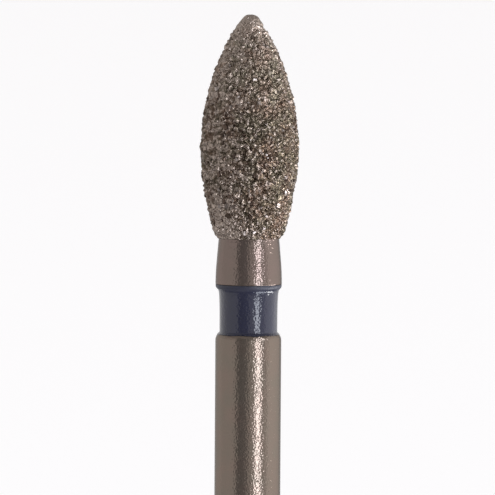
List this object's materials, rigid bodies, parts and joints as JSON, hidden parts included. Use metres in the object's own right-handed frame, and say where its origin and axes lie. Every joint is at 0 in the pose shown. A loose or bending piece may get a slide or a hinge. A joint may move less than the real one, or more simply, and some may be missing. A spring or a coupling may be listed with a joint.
{
  "type": "dental bur",
  "caption": "Slim rotary dental bur: a plain round shank, a groove filled with a coloured band, a tapered neck and a bud-shaped head coated in diamond crystals.",
  "frame": {"origin": "centre of the flat end of the shank", "axes": "+Z along the bur's axis from the shank to the tip; the bur is round, so X and Y have no preferred direction"},
  "size_m": [0.0024, 0.0024, 0.019],
  "materials": {
    "steel": "fine-turned, slightly dull",
    "lacquer": "gloss lacquer",
    "diamond_grit": "rough crystals in plated nickel"
  },
  "bodies": {
    "root": {"steel_blank": "steel", "colour_ring": "lacquer", "diamond_coat": "diamond_grit"}
  },
  "joints": []
}
